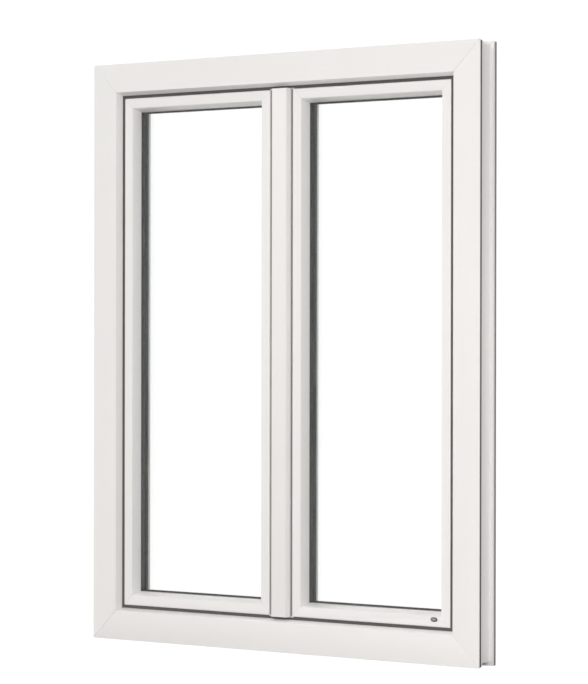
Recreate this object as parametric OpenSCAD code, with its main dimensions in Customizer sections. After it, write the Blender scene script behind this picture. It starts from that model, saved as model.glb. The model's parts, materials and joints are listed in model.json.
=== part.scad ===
// Two-leaf casement window in white profile, opening inwards, with a floating mullion.
// X is centred on the window, Y = 0 is the exterior face, Z = 0 is the underside of the sill.

/* [Frame] */
// Overall width of the frame
frame_w = 1100; // [900:10:1400]
// Overall height of the frame
frame_h = 1400; // [1100:10:1800]
// Depth of the frame, exterior face to interior face
frame_d = 70; // [66:1:90]
// Width of the flat exterior face
face_w = 69; // [64:1:84]
// Run of the slope on the inner edge of the exterior lip
face_slope = 7.7; // [4:0.1:12]
// Depth of the exterior lip
lip_d = 16; // [14:0.5:18]
// Distance from the outer edge to the rebate floor
rebate_u = 50; // [46:1:54]
// Depth of the open channel round the outer edge
channel_u = 9; // [7:0.5:10]
// Thickness of the front flange beside the channel
flange_t = 3; // [2.5:0.5:4]
// Width of the rib behind the channel
rib_w = 11; // [9:0.5:13]
// Wall thickness of the profiles
wall_t = 3; // [2.6:0.1:3.2]

/* [Leaf] */
// Overlap of the leaf on the interior face of the frame
overlap = 8; // [7:0.5:9]
// Gap between leaf and frame that holds the hardware
hardware_gap = 12; // [12:0.5:13]
// Room for the seal between the frame's lip and the leaf
seal_room = 4; // [3:0.1:5]
// Thickness of the leaf's overlap
overlap_t = 11.3; // [9:0.1:16]
// Gap for the seal between the frame and the leaf's overlap
seal_gap = 4; // [3.5:0.5:5]
// Shadow gap between the frame's lip and the leaf's raised face
reveal = 8; // [6:0.5:9]
// Step from the leaf's raised face back to its recess
leaf_step = 4.7; // [4:0.1:6]
// Width of the leaf's raised face
leaf_face_w = 23.3; // [20:0.1:40]
// Run of the slope beside the glass
glass_slope = 9.3; // [6:0.1:12]

/* [Glass] */
// Thickness of each pane
pane_t = 4; // [3:1:6]
// Gap between the panes
cavity_t = 16; // [12:1:16]
// Depth of the slope, from the leaf's face to the outer gasket
slope_d = 22.7; // [20:0.1:25]
// Thickness of the glazing gaskets
gasket_t = 3; // [2.5:0.5:3]
// How far the glass goes under the profile
glass_cover = 16; // [14:1:18]
// Height of the setting blocks under the glass
block_t = 7; // [6:0.5:8]

/* [Mullion] */
// Width of the mullion's flat face
bar_face_w = 40; // [34:1:44]
// Width of the mullion across its sloped sides
bar_w = 52; // [46:1:56]
// Setback of the mullion's face behind the frame's
bar_setback = 5.5; // [4:0.5:8]
// Gap between the mullion's end and the frame's lip
bar_end_gap = 5.3; // [4:0.1:8]
// Thickness of the web between the leaves
web_t = 8.6; // [8:0.1:8.6]

/* [Hinges] */
// Distance of the hinge axis outside the leaf's edge
hinge_out = 12; // [11:0.5:14]
// Distance of the hinge axis behind the leaf's back
hinge_rise = 6.7; // [6:0.1:9]
// Distance of each hinge from the end of its leaf
hinge_inset = 110; // [90:5:200]
// Radius of the hinge pin
pin_r = 3.5; // [3:0.25:4]
// Radius of the hinge barrel
barrel_r = 7; // [6:0.25:7.5]
// Length of each knuckle
knuckle_h = 30; // [24:1:36]

/* [Lock] */
// Height of the handle above the sill
handle_z = 700; // [500:10:900]
// Travel of the locking rod over a half turn of the handle
lock_travel = 24; // [20:0.5:26]
// Backset of the handle from the leaf's edge plate
backset = 15; // [15:0.5:16]
// Length of the handle's lever
lever_l = 118; // [100:1:130]
// Travel of the two edge bolts
bolt_travel = 12; // [10:0.5:12]
// Radius of the edge bolts
bolt_r = 4; // [3.5:0.25:4.5]

/* [Hidden] */
$fn = 48;

// Colours
white = [0.95, 0.95, 0.94];
black = [0.08, 0.08, 0.08];
steel = [0.62, 0.63, 0.65];
zinc = [0.72, 0.72, 0.70];
pane = [0.80, 0.90, 0.88, 0.35];

// Clearances
run_c = 0.05;   // pins, shafts and screws in their holes
slide_c = 0.3;  // sliding pieces and insets
soft_c = 0.3;   // soft pieces from what they press on
bar_c = 3.3;    // leaf edges that pass each other

// Frame section, u from the outer edge inwards and depth from the exterior face
lip_u = face_w + face_slope;
shoulder_u = 3;
tape_u = 1.5;
shoulder_d0 = flange_t + channel_u;
shoulder_d1 = shoulder_d0 + 8;
rib_d = frame_d - rib_w;
rib_r = 6;
rib_wall = 3.2;
steel_d0 = shoulder_d1;
steel_d1 = frame_d - 15;

// Leaf section, p from the edge of the overlap inwards and depth from the exterior face
leaf_edge = rebate_u - overlap;
p_rebate = overlap + hardware_gap;
p_face = lip_u + reveal - leaf_edge;
p_slope = p_face + leaf_face_w;
p_sight = p_slope + glass_slope;
p_glass = p_sight - glass_cover;
p_floor = p_glass - block_t;
q_recess = lip_d + seal_room;
leaf_setback = q_recess - leaf_step;
q_gasket = leaf_setback + slope_d;
q_glass = q_gasket + gasket_t;
q_inner = q_glass + pane_t + cavity_t;
q_bead = q_inner + pane_t + gasket_t;
q_lip = frame_d + seal_gap;
q_back = q_lip + overlap_t;
groove_back = 13;
q_groove = q_lip - groove_back;
plate_w = 16;
plate_t = 2.5;
groove_w = 12;
p_groove = p_rebate + 9;
steel_p0 = p_groove + wall_t;
floor_t = 5.5;
steel_p1 = p_floor - floor_t;
steel_t = 1.5;

// Leaves: the active one is on the right seen from outside, the passive one mirrors it
leaf_x0 = -(p_rebate - (hardware_gap + web_t) / 2);
leaf_x1 = frame_w / 2 - leaf_edge;
leaf_w = leaf_x1 - leaf_x0;
leaf_h = frame_h - 2 * leaf_edge;
leaf_cx = (leaf_x0 + leaf_x1) / 2;
edge_x = leaf_x0 + p_rebate;
web_x0 = -edge_x;
web_x1 = web_x0 + web_t;
hinge_x = leaf_x1 + hinge_out;
hinge_y = q_back + hinge_rise;
hinge_zs = [leaf_edge + hinge_inset, frame_h - leaf_edge - hinge_inset];
barrel_gap = 0.3;
hinge_plate_t = 3.5;
hinge_plate_h = 90;
hinge_plate_out = 20;
hinge_screw_out = 13;
hinge_screw_r = 2.1;
screw_sink = 1.5;

// Mullion
bar_end = lip_u + bar_end_gap;
bar_back = q_recess - 2;
bar_notch = 2.2;
web_d1 = frame_d;

// Lock
spindle_x = edge_x + backset;
spindle_w = 7;
pinion_r = lock_travel / PI;
pinion_teeth = 12;
tooth_pitch = 2 * PI * pinion_r / pinion_teeth;
tooth_up = 1.1;
tooth_down = 1.5;
rod_t = 2;
rod_w = 10;
rod_x = edge_x + wall_t + slide_c;
rod_z0 = leaf_edge + 110;
rod_z1 = frame_h - leaf_edge - 110;
cam_zs = [for (f = [0.12, 0.36, 0.64, 0.88]) leaf_edge + f * leaf_h];
gearbox_h = 100;
gearbox_x0 = spindle_x - 6.2;
gearbox_x1 = spindle_x + 10.3;
rack_up = 10;
rack_down = 6 + lock_travel;
faceplate_screw_r = 1.9;
rose_screw_r = 2.5;
cam_pin_r = 3.5;
cam_head_r = 5.5;
cam_head_x0 = 3.5;
cam_head_x1 = 6.5;
keep_base_t = 1.5;
keep_wall_t = 3;
keep_wall_x = 7;
rose_w = 28;
rose_h = 72;
rose_t = 11;
rose_screw = 21.5;
neck_r = 8;
grip_y = q_back + 38;

// Edge bolts in the passive leaf's meeting stile
bolt_x = -(edge_x + bolt_r + 0.6);
bolt_l = 150;
bolt_end = frame_h - rebate_u - hardware_gap - 0.5;
knob_h = 14;
bolt_keep_t = 6.5;

// ---------- helpers ----------

// A bar of the ring w x h lying at its foot, cut to a mitre at both ends: children is its section
// with x as depth and y as the distance from the ring's outer edge.
module mitred(len, reach, d1) {
    intersection() {
        translate([-len / 2, 0, 0]) rotate([90, 0, 90]) linear_extrude(len) children();
        translate([0, d1, 0]) rotate([90, 0, 0]) linear_extrude(d1 + 1)
            polygon([[-len / 2, 0], [len / 2, 0], [len / 2 - reach, reach], [reach - len / 2, reach]]);
    }
}

// Puts a bar made at the foot of a ring w x h on one of its four sides
module on_side(side, w, h, cx, z0) {
    if (side == "foot") translate([cx, 0, z0]) children();
    if (side == "head") translate([cx, 0, z0 + h]) mirror([0, 0, 1]) children();
    if (side == "left") translate([cx - w / 2, 0, z0 + h / 2]) rotate([0, 90, 0]) children();
    if (side == "right") translate([cx + w / 2, 0, z0 + h / 2]) mirror([1, 0, 0]) rotate([0, 90, 0])
        children();
}

function is_level(side) = side == "foot" || side == "head";

module frame_bar(side, reach = lip_u + 1) {
    on_side(side, frame_w, frame_h, 0, 0)
        mitred(is_level(side) ? frame_w : frame_h, reach, frame_d + 1) children();
}

module leaf_bar(side, reach = 90) {
    on_side(side, leaf_w, leaf_h, leaf_cx, leaf_edge)
        mitred(is_level(side) ? leaf_w : leaf_h, reach, q_back + 1) children();
}

module on_left() { mirror([1, 0, 0]) children(); }

module along_x(x, y, z, len, r) { translate([x, y, z]) rotate([0, 90, 0]) cylinder(h = len, r = r); }

module along_y(x, y, z, len, r) { translate([x, y, z]) rotate([-90, 0, 0]) cylinder(h = len, r = r); }

// Box from its low corner to its high corner
module span(a, b) { translate(a) cube(b - a); }

// Countersunk screw pointing along -Y from a seat at depth y
module screw_y(x, y, z, len, r) {
    along_y(x, y - len, z, len, r);
    along_y(x, y - 0.1, z, 1.6, 2 * r);
}

// ---------- sections ----------

module frame_section() {
    difference() {
        polygon(concat(
            [[0, 0], [0, face_w], [lip_d, lip_u], [lip_d, rebate_u], [frame_d, rebate_u]],
            [for (a = [0:15:90]) [frame_d - rib_r + rib_r * cos(a), rib_r - rib_r * sin(a)]],
            [[rib_d, 0], [rib_d, channel_u], [shoulder_d1, channel_u], [shoulder_d1, shoulder_u]],
            [[shoulder_d0, shoulder_u], [shoulder_d0, channel_u], [flange_t, channel_u]],
            [[flange_t, 0]]));
        // front chamber
        polygon([[wall_t, channel_u + wall_t], [wall_t, face_w - 1.7], [lip_d - 5.8, face_w + 1.8],
            [lip_d - 5.8, rebate_u - wall_t], [steel_d0 - wall_t, rebate_u - wall_t],
            [steel_d0 - wall_t, channel_u + wall_t]]);
        // reinforcement chamber
        polygon([[steel_d0, channel_u + wall_t], [steel_d0, rebate_u - wall_t],
            [steel_d1, rebate_u - wall_t], [steel_d1, channel_u + wall_t]]);
        // rear chamber
        polygon([[steel_d1 + wall_t, channel_u + wall_t], [steel_d1 + wall_t, rebate_u - wall_t],
            [frame_d - wall_t, rebate_u - wall_t], [frame_d - wall_t, rib_wall],
            [rib_d + wall_t, rib_wall], [rib_d + wall_t, channel_u + wall_t]]);
        // seal groove
        polygon([[lip_d - 3, face_w - 3], [lip_d - 3, face_w], [lip_d + 1, face_w],
            [lip_d + 1, face_w - 3]]);
    }
}

module steel_section(d0, d1, u0, u1) {
    difference() {
        polygon([[d0, u0], [d0, u1], [d1, u1], [d1, u0]]);
        polygon([[d0 + steel_t, u0 + steel_t], [d0 + steel_t, u1 - steel_t],
            [d1 - steel_t, u1 - steel_t], [d1 - steel_t, u0 + steel_t]]);
    }
}

module frame_seal_section(reach) {
    polygon([[lip_d - 2.9, face_w - 2.9], [lip_d - 2.9, face_w - 0.1], [lip_d, face_w - 0.1],
        [lip_d, reach], [q_recess - soft_c, reach - 0.6], [q_recess - soft_c, face_w + 2],
        [lip_d + 1.4, face_w - 4], [lip_d, face_w - 4], [lip_d, face_w - 2.9]]);
}

// The leaf's rear chamber starts behind both the reinforcement and the hardware groove
rear_q0 = max(q_bead + 1, q_groove + groove_w / 2) + wall_t;

module leaf_section() {
    difference() {
        polygon([
            [q_recess, p_rebate], [q_recess, p_face], [leaf_setback, p_face], [leaf_setback, p_slope],
            [q_gasket, p_sight], [q_gasket, p_floor],
            [q_bead + 3, p_floor], [q_bead + 3, p_floor - 2.5], [q_bead + 6.5, p_floor - 2.5],
            [q_bead + 6.5, p_floor], [q_back, p_floor],
            [q_back, 2.5], [q_back - 0.9, 0.8], [q_back - 2.6, 0],
            [q_lip, 0], [q_lip, p_rebate],
            [q_groove + plate_w / 2 + 0.2, p_rebate],
            [q_groove + plate_w / 2 + 0.2, p_rebate + wall_t],
            [q_groove + groove_w / 2, p_rebate + wall_t],
            [q_groove + groove_w / 2, p_groove],
            [q_groove - groove_w / 2, p_groove],
            [q_groove - groove_w / 2, p_rebate + wall_t],
            [q_groove - plate_w / 2 - 0.2, p_rebate + wall_t],
            [q_groove - plate_w / 2 - 0.2, p_rebate]]);
        // front chamber, up to the slope
        polygon([[q_recess + wall_t, p_rebate + wall_t], [q_recess + wall_t, p_face + wall_t],
            [leaf_setback + wall_t, p_face + wall_t], [leaf_setback + wall_t, p_slope - 2],
            [q_gasket - wall_t, p_sight - 4.8], [q_gasket - wall_t, p_rebate + wall_t]]);
        // reinforcement chamber
        polygon([[q_gasket + 1, steel_p0], [q_gasket + 1, steel_p1], [q_bead + 1, steel_p1],
            [q_bead + 1, steel_p0]]);
        // rear chamber
        polygon([[rear_q0, p_rebate + wall_t], [rear_q0, steel_p1],
            [q_back - wall_t, steel_p1], [q_back - wall_t, wall_t + 1], [q_lip + wall_t, wall_t],
            [q_lip + wall_t, p_rebate + wall_t]]);
    }
}

module bead_section() {
    polygon([[q_bead, p_floor], [q_bead, p_sight + 0.3], [q_back - 8, p_sight + 0.3],
        [q_back, p_floor + 10],
        [q_back, p_floor], [q_bead + 6.2, p_floor], [q_bead + 6.2, p_floor - 2.2],
        [q_bead + 3.3, p_floor - 2.2], [q_bead + 3.3, p_floor]]);
}

// ---------- frame ----------

module frame_side(side) {
    color(white) frame_bar(side) frame_section();
}

module right_jamb() {
    difference() {
        frame_side("right");
        frame_screw_set(hinge_screw_r + run_c);
    }
}

module frame_head() {
    frame_side("head");
}

module frame_sill() {
    frame_side("foot");
}

module frame_left_jamb() { on_left() right_jamb(); }

module frame_right_jamb() { right_jamb(); }

// Steel tubes in the frame, cut square and short of the corners
module frame_reinforcements() {
    u0 = channel_u + wall_t + slide_c;
    u1 = rebate_u - wall_t - slide_c;
    color(steel) difference() {
        for (side = ["foot", "head", "left", "right"])
            on_side(side, frame_w, frame_h, 0, 0) steel_tube(is_level(side) ? frame_w : frame_h,
                steel_d0 + slide_c, steel_d1 - slide_c, u0, u1, rebate_u + 8);
        for (s = [0, 1]) mirror([s, 0, 0]) frame_screw_set(hinge_screw_r + run_c);
    }
}

module steel_tube(len, d0, d1, u0, u1, cut) {
    translate([cut - len / 2, 0, 0]) rotate([90, 0, 90]) linear_extrude(len - 2 * cut)
        steel_section(d0, d1, u0, u1);
}

// Exterior seal round the frame's lip, cut back where the mullion sweeps past
module frame_seal() {
    clear_x = bar_w / 2 + 10;
    color(black) difference() {
        for (side = ["foot", "head", "left", "right"])
            frame_bar(side, lip_u + reveal) frame_seal_section(lip_u + reveal - 1);
        for (s = [0, 1]) translate([0, 0, s * frame_h]) mirror([0, 0, s])
            span([-clear_x, lip_d - 1, bar_end - 0.5], [clear_x, q_recess + 1, lip_u + reveal + 1]);
    }
}

// Sealing tape in the groove behind the front flange, all round the frame
module perimeter_tape() {
    color(black) for (side = ["foot", "head", "left", "right"])
        frame_bar(side) polygon([[flange_t + slide_c, tape_u], [shoulder_d0 - slide_c, tape_u],
            [shoulder_d0 - slide_c, channel_u], [flange_t + slide_c, channel_u]]);
}

// Fixed halves of the right-hand hinges
module frame_hinge_pair() {
    for (z = hinge_zs) difference() {
        union() {
            span([hinge_x - 7, frame_d, z - hinge_plate_h / 2],
                [hinge_x + hinge_plate_out, frame_d + hinge_plate_t, z + hinge_plate_h / 2]);
            span([hinge_x - 5, frame_d, z - knuckle_h - barrel_gap],
                [hinge_x + 5, hinge_y, z - barrel_gap]);
            translate([hinge_x, hinge_y, z - knuckle_h - barrel_gap])
                cylinder(h = knuckle_h, r = barrel_r);
        }
        translate([hinge_x, hinge_y, z - knuckle_h - 1]) cylinder(h = knuckle_h + 2, r = pin_r + run_c);
        frame_screw_set(hinge_screw_r + run_c);
    }
}

module frame_right_hinges() { color(white) frame_hinge_pair(); }

module frame_left_hinges() { color(white) on_left() frame_hinge_pair(); }

module hinge_pin_pair() {
    for (z = hinge_zs) {
        translate([hinge_x, hinge_y, z - knuckle_h + 0.5]) cylinder(h = 2 * knuckle_h + 1, r = pin_r);
        translate([hinge_x, hinge_y, z + knuckle_h + 2 * barrel_gap]) cylinder(h = 2.5, r = barrel_r - 0.5);
    }
}

module hinge_pins() {
    color(zinc) {
        hinge_pin_pair();
        on_left() hinge_pin_pair();
    }
}

module frame_screw_set(r) {
    for (z = hinge_zs) for (dz = [-36, 36])
        screw_y(hinge_x + hinge_screw_out, frame_d + hinge_plate_t - screw_sink, z + dz, 18, r);
}

module frame_hinge_screws() {
    color(zinc) {
        frame_screw_set(hinge_screw_r);
        on_left() frame_screw_set(hinge_screw_r);
    }
}

// Keeps for the edge bolts, on the rebate floors of the head and the sill
module bolt_keeps() {
    color(zinc) for (z = [rebate_u, frame_h - rebate_u - bolt_keep_t]) difference() {
        span([bolt_x - 12, q_groove - 8, z], [bolt_x + 12, q_groove + 8, z + bolt_keep_t]);
        translate([bolt_x, q_groove, z - 1]) cylinder(h = bolt_keep_t + 2, r = bolt_r + 0.5);
    }
}

// ---------- leaves ----------

module leaf_side(side) { color(white) leaf_bar(side) leaf_section(); }

// Takes the overlap off the passive leaf where it meets the active one
module passive_trim() {
    on_left() difference() {
        children();
        span([leaf_x0 - 1, q_lip - 0.1, 0], [-leaf_x0 + bar_c, q_back + 1, frame_h]);
    }
}

// Holes for the screws of the hinge leaves, in the hinge stile
module hinge_leaf_holes(r) {
    for (z = hinge_zs) for (dz = [-36, -14, 14, 36])
        screw_y(leaf_x1 - 22, q_back + hinge_plate_t - screw_sink, z + dz, 16, r);
}

module hinge_stile() {
    difference() {
        leaf_side("right");
        hinge_leaf_holes(hinge_screw_r + run_c);
    }
}

// Pocket for the gearbox in the lock stile and in its steel
module gearbox_pocket() {
    span([edge_x - 1, q_groove - groove_w / 2, handle_z - gearbox_h / 2 - 1],
        [gearbox_x1 + slide_c, q_groove + groove_w / 2, handle_z + gearbox_h / 2 + 1]);
}

module rose_holes() {
    along_y(spindle_x, q_groove, handle_z, 40, neck_r + 1);
    for (s = [-1, 1]) along_y(spindle_x, q_groove + 4, handle_z + s * rose_screw, 40, rose_screw_r + run_c);
}

module active_top_rail() { leaf_side("head"); }

module active_bottom_rail() {
    difference() {
        leaf_side("foot");
        badge_body(run_c, 1.2);
    }
}

module active_hinge_stile() { hinge_stile(); }

module active_lock_stile() {
    difference() {
        leaf_side("left");
        gearbox_pocket();
        rose_holes();
        faceplate_screws(faceplate_screw_r + run_c);
    }
}

module passive_top_rail() { color(white) passive_trim() leaf_side("head"); }

module passive_bottom_rail() { color(white) passive_trim() leaf_side("foot"); }

module passive_hinge_stile() { on_left() hinge_stile(); }

module passive_meeting_stile() {
    color(white) difference() {
        passive_trim() leaf_side("left");
        mullion_screw_set(2 + run_c);
    }
}

module leaf_steels() {
    cut = p_floor + 12;
    for (side = ["foot", "head", "left", "right"])
        on_side(side, leaf_w, leaf_h, leaf_cx, leaf_edge) steel_tube(is_level(side) ? leaf_w : leaf_h,
            q_gasket + 1 + slide_c, q_bead + 1 - slide_c, steel_p0 + slide_c, steel_p1 - slide_c, cut);
}

module active_reinforcements() {
    color(steel) difference() {
        leaf_steels();
        gearbox_pocket();
        rose_holes();
    }
}

module passive_reinforcements() { color(steel) on_left() leaf_steels(); }

// Box inset by p from the edges of the right-hand leaf, between two depths
module leaf_slab(p, q0, q1) {
    span([leaf_x0 + p, q0, leaf_edge + p], [leaf_x1 - p, q1, frame_h - leaf_edge - p]);
}

module outer_pane() { color(pane) leaf_slab(p_glass, q_glass, q_glass + pane_t); }

module inner_pane() { color(pane) leaf_slab(p_glass, q_inner, q_inner + pane_t); }

module spacer() {
    color(steel) difference() {
        leaf_slab(p_glass + 1, q_glass + pane_t, q_inner);
        leaf_slab(p_glass + 12, q_glass, q_inner + pane_t);
    }
}

// Outer and inner glazing gaskets, each a ring with a thin lip on the glass
module glazing_gaskets() {
    color(black) for (q = [q_gasket, q_bead - gasket_t]) difference() {
        leaf_slab(p_sight - 8, q, q + gasket_t);
        leaf_slab(p_sight + (q == q_gasket ? 1.7 : 2), q - 1, q + gasket_t + 1);
    }
}

module side_beads() {
    color(white) for (side = ["left", "right"]) leaf_bar(side) bead_section();
}

module end_beads() {
    color(white) for (side = ["foot", "head"]) leaf_bar(side) bead_section();
}

module active_outer_glass() { outer_pane(); }

module active_inner_glass() { inner_pane(); }

module active_glass_spacer() { spacer(); }

module active_glazing_gaskets() { glazing_gaskets(); }

module active_side_beads() { side_beads(); }

module active_end_beads() { end_beads(); }

module passive_outer_glass() { on_left() outer_pane(); }

module passive_inner_glass() { on_left() inner_pane(); }

module passive_glass_spacer() { on_left() spacer(); }

module passive_glazing_gaskets() { on_left() glazing_gaskets(); }

module passive_side_beads() { on_left() side_beads(); }

module passive_end_beads() { on_left() end_beads(); }

// Seal between the frame's interior face and the leaf's overlap
module overlap_seal() {
    color(black) for (side = ["foot", "head", "left", "right"])
        leaf_bar(side) polygon([[q_lip, 1.2], [q_lip, overlap - 1], [frame_d + 1, overlap - 1.6],
            [frame_d + soft_c, overlap - 3], [frame_d + soft_c, 2.6], [frame_d + 1.6, 1.2]]);
}

module active_overlap_seal() { overlap_seal(); }

module passive_overlap_seal() {
    color(black) on_left() difference() {
        overlap_seal();
        span([leaf_x0 - 1, frame_d - 1, 0], [edge_x + 1, q_back, frame_h]);
    }
}

// Blocks that carry and centre the glass unit in its rebate
module setting_blocks() {
    q1 = q_inner + pane_t;
    block_l = 100;
    x_inset = p_glass + 60;
    color(black) {
        for (x = [leaf_x0 + x_inset, leaf_x1 - x_inset - block_l])
            for (z = [leaf_edge + p_floor, frame_h - leaf_edge - p_glass])
                span([x, q_glass, z], [x + block_l, q1, z + block_t]);
        for (x = [leaf_x0 + p_floor, leaf_x1 - p_glass])
            for (z = [leaf_edge + x_inset, frame_h - leaf_edge - x_inset - block_l])
                span([x, q_glass, z], [x + block_t, q1, z + block_l]);
    }
}

module active_setting_blocks() { setting_blocks(); }

module passive_setting_blocks() { on_left() setting_blocks(); }

module hinge_leaves() {
    color(white) for (z = hinge_zs) difference() {
        union() {
            span([leaf_x1 - 34, q_back, z - hinge_plate_h / 2],
                [leaf_x1 - 2, q_back + hinge_plate_t, z + hinge_plate_h / 2]);
            span([leaf_x1 - 10, q_back, z + barrel_gap],
                [hinge_x - 2, q_back + hinge_plate_t, z + barrel_gap + knuckle_h]);
            translate([hinge_x, hinge_y, z + barrel_gap]) cylinder(h = knuckle_h, r = barrel_r);
        }
        translate([hinge_x, hinge_y, z - 1]) cylinder(h = knuckle_h + 3, r = pin_r + run_c);
        hinge_leaf_holes(hinge_screw_r + run_c);
    }
}

module active_hinge_leaves() { hinge_leaves(); }

module passive_hinge_leaves() { on_left() hinge_leaves(); }

module active_hinge_screws() { color(zinc) hinge_leaf_holes(hinge_screw_r); }

module passive_hinge_screws() { color(zinc) on_left() hinge_leaf_holes(hinge_screw_r); }

// ---------- lock on the active leaf ----------

// The two screws of the faceplate, just past the ends of the rod, or their holes
module faceplate_screws(r) {
    for (z = [rod_z0 - 20, rod_z1 + 20]) along_x(edge_x + slide_c, q_groove, z, 10.5, r);
}

module lock_faceplate() {
    x0 = edge_x + slide_c;
    color(zinc) difference() {
        span([x0, q_groove - plate_w / 2, rod_z0 - 30],
            [x0 + plate_t, q_groove + plate_w / 2, rod_z1 + 30]);
        for (z = cam_zs) {
            for (dz = [0, lock_travel]) along_x(x0 - 1, q_groove, z + dz, plate_t + 2, cam_pin_r + slide_c);
            span([x0 - 1, q_groove - cam_pin_r - slide_c, z],
                [x0 + plate_t + 1, q_groove + cam_pin_r + slide_c, z + lock_travel]);
        }
        faceplate_screws(faceplate_screw_r + run_c);
    }
}

module pinion_axis() { translate([spindle_x, q_groove, handle_z]) rotate([-90, 0, 0]) children(); }

module lock_gearbox() {
    half_q = groove_w / 2 - slide_c;
    color(zinc) difference() {
        span([gearbox_x0, q_groove - half_q, handle_z - gearbox_h / 2],
            [gearbox_x1, q_groove + half_q, handle_z + gearbox_h / 2]);
        pinion_axis() translate([0, 0, -4.4]) cylinder(h = 8.8, r = 9.4);
        pinion_axis() translate([0, 0, -8]) cylinder(h = 16, r = 5 + run_c);
        for (s = [-1, 1])
            along_y(spindle_x, q_groove - 2, handle_z + s * rose_screw, 12, rose_screw_r + run_c);
    }
}

module handle_rose() {
    color(white) difference() {
        union() {
            span([spindle_x - rose_w / 2, q_back, handle_z - rose_h / 2 + rose_w / 2],
                [spindle_x + rose_w / 2, q_back + rose_t, handle_z + rose_h / 2 - rose_w / 2]);
            for (s = [-1, 1]) along_y(spindle_x, q_back, handle_z + s * (rose_h - rose_w) / 2, rose_t,
                rose_w / 2);
        }
        along_y(spindle_x, q_back - 1, handle_z, rose_t + 2, neck_r + run_c);
        for (s = [-1, 1])
            along_y(spindle_x, q_back - 1, handle_z + s * rose_screw, rose_t + 2, rose_screw_r + run_c);
        for (s = [-1, 1]) along_y(spindle_x, q_back + 6, handle_z + s * rose_screw, rose_t, 4.5 + run_c);
    }
}

// Two screws through the rose into the gearbox, and two that hold the faceplate
module lock_screws() {
    color(zinc) {
        for (s = [-1, 1]) {
            along_y(spindle_x, q_groove - 1, handle_z + s * rose_screw, q_back + 6 - q_groove + 1.1,
                rose_screw_r);
            along_y(spindle_x, q_back + 6, handle_z + s * rose_screw, 3, 4.5);
        }
        faceplate_screws(faceplate_screw_r);
    }
}

// Plain oval cap on the exterior face of the bottom rail
module badge_body(grow, sink) {
    badge_w = 17;
    badge_h = 9.6;
    x = leaf_x1 - 85;
    z = leaf_edge + p_face + leaf_face_w / 2 + 4.2;
    for (s = [-1, 1]) along_y(x + s * (badge_w - badge_h) / 2, leaf_setback - 1.4, z, 1.4 + sink,
        badge_h / 2 + grow);
    span([x - (badge_w - badge_h) / 2, leaf_setback - 1.4, z - badge_h / 2 - grow],
        [x + (badge_w - badge_h) / 2, leaf_setback + sink, z + badge_h / 2 + grow]);
}

module blank_badge() { color([0.25, 0.26, 0.28]) badge_body(0, 1.15); }

// Lever, pointing up with the leaf unlocked
module handle_lever() {
    grip_r = neck_r - 0.5;
    grip_t = 6;
    tip_z = handle_z + lever_l - neck_r;
    grip_end = grip_y + slide_c + 0.01;
    color(white) {
        along_y(spindle_x, q_back + slide_c, handle_z, grip_y - q_back, neck_r);
        span([spindle_x - grip_r, grip_y - grip_t, handle_z], [spindle_x + grip_r, grip_end, tip_z]);
        along_y(spindle_x, grip_y - grip_t, tip_z, grip_end - grip_y + grip_t, grip_r);
    }
}

module handle_spindle() {
    color(steel) span([spindle_x - spindle_w / 2, q_groove - 5, handle_z - spindle_w / 2],
        [spindle_x + spindle_w / 2, q_back + slide_c, handle_z + spindle_w / 2]);
}

module drive_pinion() {
    root_r = pinion_r - tooth_down;
    tip_r = pinion_r + tooth_up;
    color(zinc) difference() {
        union() {
            pinion_axis() translate([0, 0, -4.1]) linear_extrude(8.2) union() {
                circle(r = root_r);
                for (k = [0:pinion_teeth - 1]) rotate((k + 0.5) * 360 / pinion_teeth)
                    polygon([[root_r - 0.8, -1.1], [pinion_r, -0.75], [tip_r, -0.3],
                        [tip_r, 0.3], [pinion_r, 0.75], [root_r - 0.8, 1.1]]);
            }
            pinion_axis() translate([0, 0, -5.6]) cylinder(h = 11.2, r = 5);
        }
        span([spindle_x - spindle_w / 2 - run_c, q_groove - 7, handle_z - spindle_w / 2 - run_c],
            [spindle_x + spindle_w / 2 + run_c, q_groove + 7, handle_z + spindle_w / 2 + run_c]);
    }
}

// Flat rod behind the faceplate, with a rack that meshes with the pinion
module lock_rod() {
    pitch_x = spindle_x - pinion_r;
    root_x = pitch_x - tooth_down;
    color(zinc) difference() {
        union() {
            span([rod_x, q_groove - rod_w / 2, rod_z0], [rod_x + rod_t, q_groove + rod_w / 2,
                rod_z1 - lock_travel]);
            span([rod_x, q_groove - 3.8, handle_z - rack_down],
                [root_x, q_groove + 3.8, handle_z + rack_up]);
            for (k = [-floor((rack_down - 1) / tooth_pitch):floor(rack_up / tooth_pitch)])
                translate([0, q_groove + 3.8, handle_z + k * tooth_pitch]) rotate([90, 0, 0])
                    linear_extrude(7.6)
                    polygon([[root_x - 0.5, -1.3], [root_x, -1.25], [pitch_x, -0.8],
                        [pitch_x + tooth_up, -0.4], [pitch_x + tooth_up, 0.4], [pitch_x, 0.8],
                        [root_x, 1.25], [root_x - 0.5, 1.3]]);
        }
        for (z = cam_zs) along_x(rod_x - 1, q_groove, z, rod_t + 2, 2 + run_c);
    }
}

module lock_cams() {
    color(steel) for (z = cam_zs) {
        along_x(cam_head_x0, q_groove, z, cam_head_x1 - cam_head_x0, cam_head_r);
        along_x(cam_head_x1 - 0.1, q_groove, z, rod_x - slide_c / 2 - cam_head_x1, cam_pin_r);
        along_x(rod_x - 1, q_groove, z, rod_t + 1, 2);
    }
}

// ---------- floating mullion on the passive leaf ----------

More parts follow.
